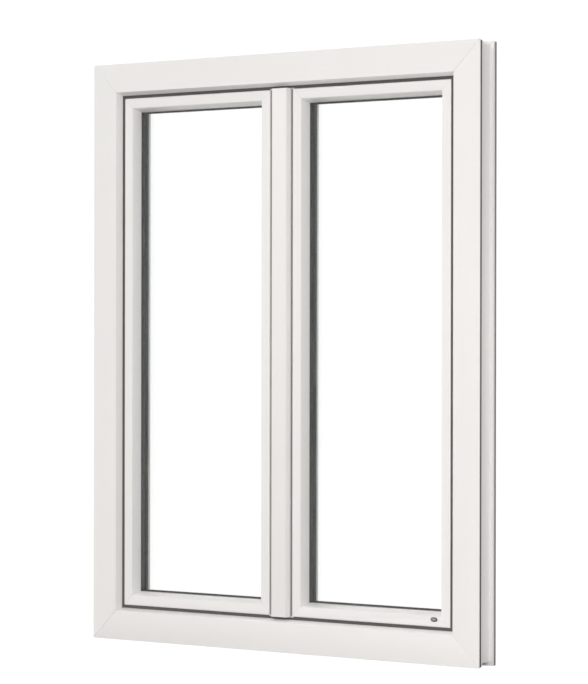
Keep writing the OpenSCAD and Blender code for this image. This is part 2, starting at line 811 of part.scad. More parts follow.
module floating_mullion() {
    f = bar_face_w / 2;
    b = bar_w / 2;
    wt = 2;
    web_zs = [bar_end, frame_h - bar_end];
    color(white) difference() {
        translate([0, 0, web_zs[0]]) linear_extrude(web_zs[1] - web_zs[0]) difference() {
            polygon([[-b, bar_back], [-b, bar_back - 1.5], [-f, bar_setback], [f, bar_setback],
                [b, bar_back - 1.5], [b, bar_back], [web_x1, bar_back], [web_x1, web_d1],
                [web_x0, web_d1], [web_x0, bar_back]]);
            polygon([[-f + 1, bar_setback + wt], [f - 1, bar_setback + wt],
                [b - 4.6, bar_back - wt], [-b + 4.6, bar_back - wt]]);
            polygon([[web_x0 + wt, bar_back + wt], [web_x1 - wt, bar_back + wt],
                [web_x1 - wt, web_d1 - wt], [web_x0 + wt, web_d1 - wt]]);
        }
        for (z = [web_zs[0] - 1, web_zs[1] - bar_notch]) {
            span([-b - 1, lip_d, z], [web_x0 - 0.01, bar_back + 0.5, z + bar_notch + 1]);
            span([web_x1 + 0.01, lip_d, z], [b + 1, bar_back + 0.5, z + bar_notch + 1]);
        }
        mullion_screw_set(2 + run_c);
        for (z = [bolt_end - bolt_l, frame_h - bolt_end + bolt_l])
            bolt_slot(z, z > frame_h / 2 ? 1 : -1);
    }
}

// Slot in the web for a bolt's knob and its travel
module bolt_slot(z, dir) {
    z0 = dir > 0 ? z - 2 : z - knob_h - bolt_travel - 2;
    span([web_x0 - 1, q_groove - 5.5, z0], [web_x1 + 1, q_groove + 5.5, z0 + knob_h + bolt_travel + 4]);
}

module mullion_end_caps() {
    cap_h = 18;
    tongue = 8;
    inset = 2 + slide_c;
    color(black) for (s = [0, 1]) translate([0, 0, s * frame_h]) mirror([0, 0, s]) {
        span([web_x0 + slide_c, q_recess + 1, bar_end - cap_h], [web_x1 - slide_c, web_d1 - 0.5, bar_end]);
        span([web_x0 + inset, bar_back + 3, bar_end - 0.1], [web_x1 - inset, web_d1 - 3, bar_end + tongue]);
    }
}

seal_z0 = bar_end + 3;
seal_in = bar_w / 2 - 9;
seal_out = p_face + leaf_x0 - 0.8;

// Seals behind the mullion: the left one fills the step of its own leaf, the right one presses on
// the active leaf and stays behind the mullion's edge
module mullion_seals() {
    color(black) translate([0, 0, seal_z0]) linear_extrude(frame_h - 2 * seal_z0) {
        polygon([[seal_in, bar_back], [bar_w / 2 - 0.8, bar_back], [bar_w / 2 - 0.8, bar_back + 0.8],
            [seal_in + 4, q_recess - soft_c], [seal_in, q_recess - soft_c]]);
        polygon([[-seal_in, bar_back], [-bar_w / 2, bar_back], [-seal_out, bar_back + 0.8],
            [-seal_out, q_recess], [-seal_in, q_recess]]);
    }
}

// Flat seal in the active leaf's recess, beside the mullion's edge
module active_meeting_seal() {
    color(black) translate([0, 0, seal_z0]) linear_extrude(frame_h - 2 * seal_z0)
        polygon([[bar_w / 2 + 0.6, q_recess - 1], [seal_out, q_recess - 1], [seal_out, q_recess],
            [bar_w / 2 + 0.6, q_recess]]);
}

module mullion_screw_set(r) {
    z0 = bar_end + 60;
    pitch = (frame_h - 2 * z0) / 5;
    for (k = [0:5]) {
        along_x(-edge_x - 15, 30, z0 + k * pitch, 15 + web_t - 1.9, r);
        along_x(web_x1 - 2, 30, z0 + k * pitch, 1.9, 2 * r);
    }
}

module mullion_screws() { color(zinc) mullion_screw_set(2); }

// Keeps on the web: each wall holds a cam once the rod has risen
module lock_keeps() {
    wall_y = q_groove + cam_head_r + 0.4;
    color(zinc) for (z = cam_zs) {
        span([web_x1, q_groove - 8, z - 12],
            [web_x1 + keep_base_t, wall_y + keep_wall_t, z + lock_travel + 12]);
        span([web_x1, wall_y, z + cam_head_r + 1],
            [keep_wall_x, wall_y + keep_wall_t, z + lock_travel + cam_head_r + 2]);
    }
}

// Guide blocks in the passive leaf's groove, each with a bore for its bolt
module bolt_guides() {
    x0 = -(edge_x + 9 - slide_c);
    x1 = -(edge_x + slide_c);
    color(zinc) for (s = [0, 1]) translate([0, 0, s * frame_h]) mirror([0, 0, s])
        for (dz = [20, 100]) difference() {
            span([x0, q_groove - 5.7, frame_h - bolt_end + dz],
                [x1, q_groove + 5.7, frame_h - bolt_end + dz + 20]);
            translate([bolt_x, q_groove, 0]) cylinder(h = frame_h / 2, r = bolt_r + run_c);
        }
}

module edge_bolt() {
    color(steel) {
        translate([bolt_x, q_groove, bolt_end - bolt_l]) cylinder(h = bolt_l, r = bolt_r);
        span([bolt_x - 2, q_groove - 4.5, bolt_end - bolt_l], [web_x1 - 0.8, q_groove + 4.5,
            bolt_end - bolt_l + knob_h]);
    }
}

module top_bolt() { edge_bolt(); }

module bottom_bolt() { translate([0, 0, frame_h]) mirror([0, 0, 1]) edge_bolt(); }

frame_head();
frame_sill();
frame_left_jamb();
frame_right_jamb();
frame_reinforcements();
frame_seal();
perimeter_tape();
frame_left_hinges();
frame_right_hinges();
hinge_pins();
frame_hinge_screws();
bolt_keeps();
active_top_rail();
active_bottom_rail();
active_hinge_stile();
active_lock_stile();
active_reinforcements();
active_outer_glass();
active_inner_glass();
active_glass_spacer();
active_glazing_gaskets();
active_side_beads();
active_end_beads();
active_overlap_seal();
active_setting_blocks();
active_meeting_seal();
active_hinge_leaves();
active_hinge_screws();
lock_faceplate();
lock_gearbox();
handle_rose();
lock_screws();
blank_badge();
handle_lever();
handle_spindle();
drive_pinion();
lock_rod();
lock_cams();
passive_top_rail();
passive_bottom_rail();
passive_hinge_stile();
passive_meeting_stile();
passive_reinforcements();
passive_outer_glass();
passive_inner_glass();
passive_glass_spacer();
passive_glazing_gaskets();
passive_side_beads();
passive_end_beads();
passive_overlap_seal();
passive_setting_blocks();
passive_hinge_leaves();
passive_hinge_screws();
floating_mullion();
mullion_end_caps();
mullion_seals();
mullion_screws();
lock_keeps();
bolt_guides();
top_bolt();
bottom_bolt();
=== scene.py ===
"""Looks of a two-leaf casement window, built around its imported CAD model.

Every length is in metres. Places come from the boxes of the CAD nodes, so the pieces follow the model.
"""

import json
import logging
import math
from dataclasses import dataclass, field
from enum import Enum
from typing import Callable

import bpy
from mathutils import Matrix, Vector


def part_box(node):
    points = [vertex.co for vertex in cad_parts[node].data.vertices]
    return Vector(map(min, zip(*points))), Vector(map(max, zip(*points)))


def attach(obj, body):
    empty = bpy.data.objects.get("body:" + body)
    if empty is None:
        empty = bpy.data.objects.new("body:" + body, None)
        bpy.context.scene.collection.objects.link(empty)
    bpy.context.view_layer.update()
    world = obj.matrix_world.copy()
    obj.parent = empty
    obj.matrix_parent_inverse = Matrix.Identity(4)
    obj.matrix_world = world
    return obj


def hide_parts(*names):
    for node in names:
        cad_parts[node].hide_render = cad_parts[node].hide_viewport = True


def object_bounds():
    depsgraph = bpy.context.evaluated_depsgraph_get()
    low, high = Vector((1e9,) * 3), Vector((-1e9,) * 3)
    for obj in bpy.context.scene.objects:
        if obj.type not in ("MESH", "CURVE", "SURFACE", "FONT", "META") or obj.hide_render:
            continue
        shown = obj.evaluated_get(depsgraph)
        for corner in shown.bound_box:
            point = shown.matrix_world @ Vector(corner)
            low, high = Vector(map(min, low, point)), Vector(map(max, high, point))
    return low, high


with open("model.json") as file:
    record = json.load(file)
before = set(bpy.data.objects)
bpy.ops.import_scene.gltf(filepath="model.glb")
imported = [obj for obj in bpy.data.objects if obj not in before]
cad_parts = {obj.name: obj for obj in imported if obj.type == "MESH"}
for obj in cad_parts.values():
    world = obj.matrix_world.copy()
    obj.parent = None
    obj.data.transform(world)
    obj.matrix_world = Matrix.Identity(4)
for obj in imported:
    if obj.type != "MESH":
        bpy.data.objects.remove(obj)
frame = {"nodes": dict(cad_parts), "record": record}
CAD_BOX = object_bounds()

LOG = logging.getLogger("window")
MM = 0.001
LEVER_TURN_SIGN = -1.0
WELD_DISTANCE = 0.002 * MM  # corners nearer than this are one
FLAT_ANGLE = math.radians(0.5)  # faces that meet at less than this are one
WHITE = (1.0, 1.0, 1.0, 1.0)
SQUARE_ON = 0.9  # least cosine between a face's normal and the side that it looks to


class Body(Enum):
    """The bodies that the dressed pieces ride on."""

    FRAME = "frame"
    ACTIVE = "active_leaf"
    PASSIVE = "passive_leaf"
    HANDLE = "handle"


class Side(Enum):
    """The side that a face looks to: axis and sign."""

    OUTSIDE = (1, -1)
    INSIDE = (1, 1)


# ---------- shader groups ----------


class GroupBuilder:
    """Builds one shader node group with named sockets."""

    def __init__(self, name: str) -> None:
        """Starts an empty group.

        Args:
            name: The group's name.
        """
        self.tree = bpy.data.node_groups.new(name, "ShaderNodeTree")
        self.inputs = self.tree.nodes.new("NodeGroupInput")
        self.outputs = self.tree.nodes.new("NodeGroupOutput")

    def socket(self, name: str, kind: str, default: object = None, out: bool = False) -> None:
        """Adds a socket to the group's interface.

        Args:
            name: The socket's name.
            kind: Float, Vector or Color.
            default: The socket's value when nothing is linked.
            out: True for an output.
        """
        made = self.tree.interface.new_socket(
            name=name, in_out="OUTPUT" if out else "INPUT", socket_type=f"NodeSocket{kind}"
        )
        if default is not None:
            made.default_value = default

    def node(self, kind: str, **values: object) -> bpy.types.Node:
        """Adds a node to the group; see add_node."""
        return add_node(self.tree, kind, **values)

    def link(self, start: bpy.types.NodeSocket, end: bpy.types.NodeSocket) -> None:
        """Joins two sockets."""
        self.tree.links.new(start, end)


def add_node(tree: bpy.types.NodeTree, kind: str, **values: object) -> bpy.types.Node:
    """Adds a shader node to a tree.

    Args:
        tree: The tree.
        kind: The node's type, without ShaderNode.
        values: Its properties and input values; see set_values.

    Returns:
        The node.
    """
    made = tree.nodes.new(f"ShaderNode{kind}")
    set_values(made, values)
    return made


def set_values(node: bpy.types.Node, values: dict[str, object]) -> None:
    """Sets a node's properties and the values of its inputs.

    Args:
        node: The node to set.
        values: Input names in lower case with underscores for spaces, or property names.
    """
    for key, value in values.items():
        title = key.replace("_", " ").title()
        if title in node.inputs:
            node.inputs[title].default_value = value
        else:
            setattr(node, key, value)


def grain_group() -> bpy.types.NodeTree:
    """Builds the fine grain of a moulded or extruded surface.

    Returns:
        A group with a slow tone, a fine mask and a height, all from 0 to 1.
    """
    group = GroupBuilder("fine_grain")
    group.socket("Vector", "Vector")
    group.socket("Fine Scale", "Float", 900.0)
    group.socket("Slow Scale", "Float", 3.0)
    group.socket("Tone", "Float", out=True)
    group.socket("Mask", "Float", out=True)
    group.socket("Height", "Float", out=True)
    slow = group.node("TexNoise", detail=3.0, roughness=0.55)
    fine = group.node("TexNoise", detail=2.0, roughness=0.5)
    mask = group.node("MapRange", from_min=0.35, from_max=0.65)
    for texture, scale in ((slow, "Slow Scale"), (fine, "Fine Scale")):
        group.link(group.inputs.outputs["Vector"], texture.inputs["Vector"])
        group.link(group.inputs.outputs[scale], texture.inputs["Scale"])
    group.link(slow.outputs["Fac"], mask.inputs["Value"])
    group.link(slow.outputs["Fac"], group.outputs.inputs["Tone"])
    group.link(mask.outputs["Result"], group.outputs.inputs["Mask"])
    group.link(fine.outputs["Fac"], group.outputs.inputs["Height"])
    return group.tree


def dust_and_top_light_group() -> bpy.types.NodeTree:
    """Builds the film of dust that lies on faces that look upwards. With a large amount and a light
    colour, as on the seals, it is also painted light that lightens those upward faces.

    Returns:
        A group that takes a colour and gives the dusted colour and the dust's mask.
    """
    group = GroupBuilder("settled_dust_and_top_light")
    group.socket("Vector", "Vector")
    group.socket("Color", "Color", (0.8, 0.8, 0.8, 1.0))
    group.socket("Dust Color", "Color", (0.45, 0.42, 0.38, 1.0))
    group.socket("Amount", "Float", 0.1)
    group.socket("Color", "Color", out=True)
    group.socket("Mask", "Float", out=True)
    normal = group.node("NewGeometry")
    split = group.node("SeparateXYZ")
    upward = group.node("MapRange", from_min=0.35, from_max=1.0)
    patches = group.node("TexNoise", scale=35.0, detail=4.0, roughness=0.6)
    spread = group.node("MapRange", from_min=0.35, from_max=0.75)
    cover = group.node("Math", operation="MULTIPLY")
    amount = group.node("Math", operation="MULTIPLY")
    blend = group.node("Mix", data_type="RGBA")
    group.link(normal.outputs["Normal"], split.inputs["Vector"])
    group.link(split.outputs["Z"], upward.inputs["Value"])
    group.link(group.inputs.outputs["Vector"], patches.inputs["Vector"])
    group.link(patches.outputs["Fac"], spread.inputs["Value"])
    group.link(upward.outputs["Result"], cover.inputs[0])
    group.link(spread.outputs["Result"], cover.inputs[1])
    group.link(cover.outputs["Value"], amount.inputs[0])
    group.link(group.inputs.outputs["Amount"], amount.inputs[1])
    group.link(amount.outputs["Value"], blend.inputs["Factor"])
    colour_in = [s for s in blend.inputs if s.name in "AB" and s.type == "RGBA"]
    group.link(group.inputs.outputs["Color"], colour_in[0])
    group.link(group.inputs.outputs["Dust Color"], colour_in[1])
    colour_out = [s for s in blend.outputs if s.type == "RGBA"][0]
    group.link(colour_out, group.outputs.inputs["Color"])
    group.link(amount.outputs["Value"], group.outputs.inputs["Mask"])
    return group.tree


def scratch_group() -> bpy.types.NodeTree:
    """Builds fine streaks along one axis, for drawn or brushed metal and extruded plastic.

    Returns:
        A group with a streak mask from 0 to 1.
    """
    group = GroupBuilder("drawn_streaks")
    group.socket("Vector", "Vector")
    group.socket("Stretch", "Vector", (1.0, 1.0, 0.02))
    group.socket("Scale", "Float", 1500.0)
    group.socket("Streaks", "Float", out=True)
    scaled = group.node("VectorMath", operation="MULTIPLY")
    streaks = group.node("TexNoise", detail=2.0, roughness=0.6)
    group.link(group.inputs.outputs["Vector"], scaled.inputs[0])
    group.link(group.inputs.outputs["Stretch"], scaled.inputs[1])
    group.link(scaled.outputs["Vector"], streaks.inputs["Vector"])
    group.link(group.inputs.outputs["Scale"], streaks.inputs["Scale"])
    group.link(streaks.outputs["Fac"], group.outputs.inputs["Streaks"])
    return group.tree


# ---------- finishes ----------


SHADER_INPUTS = {
    "color": "Base Color",
    "roughness": "Roughness",
    "metallic": "Metallic",
    "coat": "Coat Weight",
    "coat_roughness": "Coat Roughness",
    "specular": "Specular IOR Level",
    "transmission": "Transmission Weight",
    "index": "IOR",
}


class Surface:
    """A material under construction, with its Principled shader ready."""

    def __init__(self, name: str) -> None:
        """Makes the material with a shader and object coordinates.

        Args:
            name: The material's name.
        """
        self.material = bpy.data.materials.new(name)
        self.material.use_nodes = True
        self.nodes = self.material.node_tree.nodes
        self.shader = self.nodes["Principled BSDF"]
        self.place = self.node("TexCoord").outputs["Object"]

    def node(self, kind: str, **values: object) -> bpy.types.Node:
        """Adds a node to the material; see add_node."""
        return add_node(self.material.node_tree, kind, **values)

    def group(self, tree: bpy.types.NodeTree, **values: object) -> bpy.types.Node:
        """Places a shader group, fed by the object coordinates.

        Args:
            tree: The group to place.
            values: Its input values, with underscores for spaces.

        Returns:
            The group node.
        """
        made = self.nodes.new("ShaderNodeGroup")
        made.node_tree = tree
        set_values(made, values)
        self.link(self.place, made.inputs["Vector"])
        return made

    def uniform(self, **values: object) -> None:
        """Sets values that are the same all over the surface, on the shader's own inputs."""
        for key, value in values.items():
            self.shader.inputs[SHADER_INPUTS[key]].default_value = value

    def link(self, start: bpy.types.NodeSocket, end: bpy.types.NodeSocket | str) -> None:
        """Joins two sockets; a string names an input of the shader."""
        target = self.shader.inputs[end] if isinstance(end, str) else end
        self.material.node_tree.links.new(start, target)

    def spread(self, source: bpy.types.NodeSocket, low: float, high: float) -> bpy.types.NodeSocket:
        """Maps a 0 to 1 value onto a range.

        Args:
            source: The value.
            low: The result at 0.
            high: The result at 1.

        Returns:
            The mapped value's socket.
        """
        mapped = self.node("MapRange", to_min=low, to_max=high)
        self.link(source, mapped.inputs["Value"])
        return mapped.outputs["Result"]

    def tones(
        self, source: bpy.types.NodeSocket, low: tuple[float, ...], high: tuple[float, ...]
    ) -> bpy.types.NodeSocket:
        """Blends two colours by a value.

        Args:
            source: The value, 0 to 1.
            low: The colour at 0.
            high: The colour at 1.

        Returns:
            The colour's socket.
        """
        ramp = self.node("ValToRGB")
        ramp.color_ramp.elements[0].color = (*low, 1.0)
        ramp.color_ramp.elements[1].color = (*high, 1.0)
        self.link(source, ramp.inputs["Fac"])
        return ramp.outputs["Color"]

    def bump(self, height: bpy.types.NodeSocket, strength: float, distance: float) -> None:
        """Raises the surface by a height.

        Args:
            height: The height, 0 to 1.
            strength: How strongly the normal follows it.
            distance: The height of a full step, in metres.
        """
        made = self.node("Bump", strength=strength, distance=distance)
        self.link(height, made.inputs["Height"])
        self.link(made.outputs["Normal"], "Normal")


@dataclass(frozen=True)
class Groups:
    """The shader groups that the finishes share."""

    grain: bpy.types.NodeTree
    dust: bpy.types.NodeTree
    streaks: bpy.types.NodeTree


@dataclass(frozen=True)
class PlasticFinish:
    """Extruded or moulded plastic, painted metal or rubber: a grain, a soft sheen and a little dust. On
    the seals the dust is heavy and light: dust, and painted light on their upward faces.
    """

    name: str
    dark: tuple[float, float, float]
    light: tuple[float, float, float]
    roughness: tuple[float, float]
    fine_scale: float = 1400.0
    bump_height: float = 0.00002
    bump_strength: float = 0.25
    # dust settles on faces that look up; on the seals it is also painted light on those faces
    dust: float = 0.05
    dust_color: tuple[float, float, float] = (0.5, 0.47, 0.43)
    coat: float = 0.0
    coat_roughness: float = 0.12
    specular: float = 0.5

    def material(self, groups: Groups) -> bpy.types.Material:
        """Builds the material.

        Args:
            groups: The shared shader groups.

        Returns:
            The finished material.
        """
        surface = Surface(self.name)
        grain = surface.group(groups.grain, fine_scale=self.fine_scale)
        base = surface.tones(grain.outputs["Tone"], self.dark, self.light)
        dusted_and_lit = surface.group(groups.dust, dust_color=(*self.dust_color, 1.0), amount=self.dust)
        surface.link(base, dusted_and_lit.inputs["Color"])
        surface.link(dusted_and_lit.outputs["Color"], "Base Color")
        surface.link(surface.spread(grain.outputs["Mask"], *self.roughness), "Roughness")
        surface.bump(grain.outputs["Height"], self.bump_strength, self.bump_height)
        surface.uniform(coat=self.coat, coat_roughness=self.coat_roughness, specular=self.specular)
        return surface.material


@dataclass(frozen=True)
class MetalFinish:
    """Plated, drawn or galvanised metal with streaks along its length."""

    name: str
    dark: tuple[float, float, float]
    light: tuple[float, float, float]
    roughness: tuple[float, float]
    stretch: tuple[float, float, float] = (1.0, 1.0, 0.02)
    streak_scale: float = 1500.0
    slow_scale: float = 40.0
    bump_strength: float = 0.15
    bump_height: float = 0.00002

    def material(self, groups: Groups) -> bpy.types.Material:
        """Builds the material.

        Args:
            groups: The shared shader groups.

        Returns:
            The finished material.
        """
        surface = Surface(self.name)
        grain = surface.group(groups.grain, slow_scale=self.slow_scale)
        streaks = surface.group(groups.streaks, stretch=self.stretch, scale=self.streak_scale)
        surface.link(surface.tones(grain.outputs["Tone"], self.dark, self.light), "Base Color")
        surface.link(surface.spread(streaks.outputs["Streaks"], *self.roughness), "Roughness")
        surface.bump(streaks.outputs["Streaks"], self.bump_strength, self.bump_height)
        surface.uniform(metallic=1.0)
        return surface.material


@dataclass(frozen=True)
class GlassFinish:
    """Clear float glass with a faint green body and a few wipe marks."""

    name: str = "float_glass"
    tint: tuple[float, float, float] = (0.985, 0.997, 0.99)
    index: float = 1.5
    roughness: tuple[float, float] = (0.0, 0.012)
    wipe_scale: float = 9.0
    wipe_shade: float = 0.995

    def material(self, groups: Groups) -> bpy.types.Material:
        """Builds the material.

        Args:
            groups: The shared shader groups.

        Returns:
            The finished material.
        """
        surface = Surface(self.name)
        grain = surface.group(groups.grain, slow_scale=self.wipe_scale)
        shade = tuple(channel * self.wipe_shade for channel in self.tint)
        surface.link(surface.tones(grain.outputs["Tone"], shade, self.tint), "Base Color")
        surface.link(surface.spread(grain.outputs["Mask"], *self.roughness), "Roughness")
        surface.uniform(transmission=1.0, index=self.index)
        return surface.material


@dataclass
class Finishes:
    """Every finish on the window, built once."""

    groups: Groups
    made: dict[str, bpy.types.Material] = field(default_factory=dict)

    RECIPES = {
        "white_profile": PlasticFinish(
            "white_profile", (0.87, 0.855, 0.84), (0.90, 0.886, 0.872), (0.3, 0.42), coat=0.15
        ),
        "handle_white": PlasticFinish(
            "handle_white", (0.86, 0.86, 0.85), (0.88, 0.88, 0.87), (0.22, 0.32),
            fine_scale=2600.0, bump_height=0.00003, bump_strength=0.35,
        ),
        "hinge_white": PlasticFinish(
            "hinge_white", (0.85, 0.85, 0.84), (0.87, 0.87, 0.86), (0.26, 0.36),
            fine_scale=2600.0, bump_height=0.00003, bump_strength=0.35,
        ),
        # Both seal finishes carry heavy, light dust: real dust on their upward faces, and painted light
        # that lightens those tops where light falls on them.
        "seal_rubber": PlasticFinish(
            "seal_rubber", (0.070, 0.066, 0.063), (0.10, 0.095, 0.091), (0.5, 0.68),
            fine_scale=2200.0, bump_height=0.00004, bump_strength=0.4,
            dust=0.5, dust_color=(0.34, 0.32, 0.30),
        ),
        # Mid grey: painted shade, standing in for the shaded white gaps beside the mullion and along the
        # frame's rear edge.
        "painted_shade_grey": PlasticFinish(
            "painted_shade_grey", (0.20, 0.195, 0.19), (0.25, 0.243, 0.238), (0.5, 0.68),
            fine_scale=2200.0, bump_height=0.00004, bump_strength=0.4,
            dust=0.5, dust_color=(0.34, 0.32, 0.30),
        ),
        "black_plastic": PlasticFinish(
            "black_plastic", (0.014, 0.014, 0.015), (0.022, 0.022, 0.023), (0.42, 0.58),
            fine_scale=1600.0, bump_height=0.00004, bump_strength=0.3,
            dust=0.08, dust_color=(0.16, 0.15, 0.14),
        ),
        "badge_grey": PlasticFinish(
            "badge_grey", (0.035, 0.037, 0.042), (0.05, 0.053, 0.06), (0.2, 0.3),
            fine_scale=2600.0, bump_height=0.00001, bump_strength=0.2, dust=0.02, coat=0.4,
        ),
        "spacer_bar": MetalFinish(
            "spacer_bar", (0.10, 0.10, 0.098), (0.14, 0.14, 0.137), (0.35, 0.5), streak_scale=900.0
        ),
        "galvanised_steel": MetalFinish(
            "galvanised_steel", (0.42, 0.43, 0.44), (0.66, 0.67, 0.68), (0.35, 0.55), slow_scale=160.0
        ),
        "bright_steel": MetalFinish("bright_steel", (0.55, 0.55, 0.56), (0.64, 0.64, 0.65), (0.2, 0.34)),
        "zinc_steel": MetalFinish(
            "zinc_steel", (0.52, 0.50, 0.44), (0.64, 0.62, 0.56), (0.25, 0.4), slow_scale=70.0
        ),
        "glass": GlassFinish(),
    }

    def get(self, name: str) -> bpy.types.Material:
        """Gives a finish by name, building it the first time."""
        if name not in self.made:
            self.made[name] = self.RECIPES[name].material(self.groups)
        return self.made[name]


# ---------- modelling by hand ----------


def deselect() -> None:
    """Leaves nothing selected, in object mode."""
    if bpy.context.object and bpy.context.object.mode != "OBJECT":
        bpy.ops.object.mode_set(mode="OBJECT")
    bpy.ops.object.select_all(action="DESELECT")


def work_on(piece: bpy.types.Object) -> None:
    """Makes one object the only selected and active one."""
    deselect()
    piece.select_set(True)
    bpy.context.view_layer.objects.active = piece


def edit(piece: bpy.types.Object, steps: Callable[[], None]) -> None:
    """Runs modelling steps in edit mode with everything selected.

    Args:
        piece: The object to edit.
        steps: Calls of bpy.ops.mesh.
    """
    work_on(piece)
    bpy.ops.object.mode_set(mode="EDIT")
    bpy.ops.mesh.select_all(action="SELECT")
    steps()
    bpy.ops.object.mode_set(mode="OBJECT")


def select_faces(piece: bpy.types.Object, wanted: Callable[[bpy.types.MeshPolygon], bool]) -> None:
    """Selects the faces that a test wants and leaves the object in edit mode.

    Args:
        piece: The object to select on.
        wanted: The test, given each face.
    """
    work_on(piece)
    bpy.ops.object.mode_set(mode="EDIT")
    bpy.ops.mesh.select_mode(type="FACE")
    bpy.ops.mesh.select_all(action="DESELECT")
    bpy.ops.object.mode_set(mode="OBJECT")
    for face in piece.data.polygons:
        face.select = wanted(face)
    bpy.ops.object.mode_set(mode="EDIT")


def faces_side(*sides: Side) -> Callable[[bpy.types.MeshPolygon], bool]:
    """Makes a test for faces that look to one of the given sides.

    Args:
        sides: The sides.

    Returns:
        The test.
    """
    return lambda face: any(face.normal[side.value[0]] * side.value[1] > SQUARE_ON for side in sides)


def apply_modifier(piece: bpy.types.Object, kind: str, **values: object) -> None:
    """Adds a modifier and applies it.

    Args:
        piece: The object.
        kind: The modifier's type.
        values: Its settings.
    """
    work_on(piece)
    made = piece.modifiers.new(kind.lower(), kind)
    for key, value in values.items():
        setattr(made, key, value)
    bpy.ops.object.modifier_apply(modifier=made.name)


def round_edges(piece: bpy.types.Object, width: float, segments: int = 3, angle: float = 35.0) -> None:
    """Rounds the sharp edges of a piece and smooths its curved faces.

    Args:
        piece: The object.
        width: The width of the rounding.
        segments: Its steps.
        angle: Edges sharper than this, in degrees, are rounded.
    """
    apply_modifier(
        piece, "BEVEL", width=width, segments=segments, limit_method="ANGLE",
        angle_limit=math.radians(angle), use_clamp_overlap=True,
    )
    smooth(piece, angle + 5.0)


def smooth(piece: bpy.types.Object, angle: float = 30.0) -> None:
    """Shades a piece smooth where its faces meet at less than an angle in degrees."""
    work_on(piece)
    bpy.ops.object.shade_smooth_by_angle(angle=math.radians(angle))


def box_block(name: str, low: Vector, high: Vector) -> bpy.types.Object:
    """Adds a block between two corners, its place in its mesh.

    Args:
        name: The object's name.
        low: The lowest corner.
        high: The highest corner.

    Returns:
        The block.
    """
    deselect()
    bpy.ops.mesh.primitive_cube_add(size=1.0, location=(low + high) / 2)
    block = bpy.context.object
    block.name = name
    block.scale = high - low
    place_in_mesh(block)
    return block


def place_in_mesh(piece: bpy.types.Object) -> None:
    """Moves an object's place, turn and scale into its mesh."""
    work_on(piece)
    bpy.ops.object.transform_apply(location=True, rotation=True, scale=True)


def node_box(node: str) -> tuple[Vector, Vector]:
    """Gives the lowest and the highest corner of a CAD node."""
    low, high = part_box(node)
    return Vector(low), Vector(high)


def disc(name: str, centre: Vector, radius: float, depth: float, sides: int = 48) -> bpy.types.Object:
    """Adds a cylinder that lies along Y, its place in its mesh.

    Args:
        name: The object's name.
        centre: The cylinder's centre.
        radius: Its radius.
        depth: Its length.
        sides: Its sides.

    Returns:
        The cylinder.
    """
    deselect()
    bpy.ops.mesh.primitive_cylinder_add(
        vertices=sides, radius=radius, depth=depth, location=centre, rotation=(math.pi / 2, 0.0, 0.0)
    )
    made = bpy.context.object
    made.name = name
    place_in_mesh(made)
    return made


def cad_copy(node: str, name: str) -> bpy.types.Object:
    """Copies a CAD node's mesh as one clean solid: its triangles are merged and flat faces joined.

    Args:
        node: The CAD node.
        name: The copy's name.

    Returns:
        The copy.
    """
    made = bpy.data.objects.new(name, frame["nodes"][node].data.copy())
    bpy.context.collection.objects.link(made)
    made.data.materials.clear()
    work_on(made)
    bpy.ops.mesh.customdata_custom_splitnormals_clear()
    edit(made, clean_solid)
    return made


def clean_solid() -> None:
    """Merges doubles and dissolves the edges inside flat faces."""
    bpy.ops.mesh.remove_doubles(threshold=WELD_DISTANCE)
    bpy.ops.mesh.dissolve_limited(angle_limit=FLAT_ANGLE, delimit=set())


def open_mitre(
    piece: bpy.types.Object, width: float, slack: float = 0.05, least_front: float = 0.3
) -> None:
    """Cuts back the exterior edges of a member's mitred ends, so that two members leave a thin groove.

    Args:
        piece: The member.
        width: How far the edges are cut back.
        slack: How far the normal of a mitred end may be off 45 degrees.
        least_front: How far the normal of an exterior face points outside at least.
    """
    work_on(piece)
    mesh = piece.data
    ends: set[tuple[int, int]] = set()
    fronts: set[tuple[int, int]] = set()
    for face in mesh.polygons:
        across, through, up = (abs(part) for part in face.normal)
        if through < slack and abs(across - up) < slack:
            ends.update(face.edge_keys)
        elif face.normal.y < -least_front:
            fronts.update(face.edge_keys)
    bpy.ops.object.mode_set(mode="EDIT")
    bpy.ops.mesh.select_mode(type="EDGE")
    bpy.ops.mesh.select_all(action="DESELECT")
    bpy.ops.object.mode_set(mode="OBJECT")
    for edge in mesh.edges:
        edge.select = edge.key in ends and edge.key in fronts
    bpy.ops.object.mode_set(mode="EDIT")
    bpy.ops.mesh.bevel(offset=width, segments=1, affect="EDGES", clamp_overlap=True)
    bpy.ops.mesh.select_mode(type="FACE")
    bpy.ops.object.mode_set(mode="OBJECT")


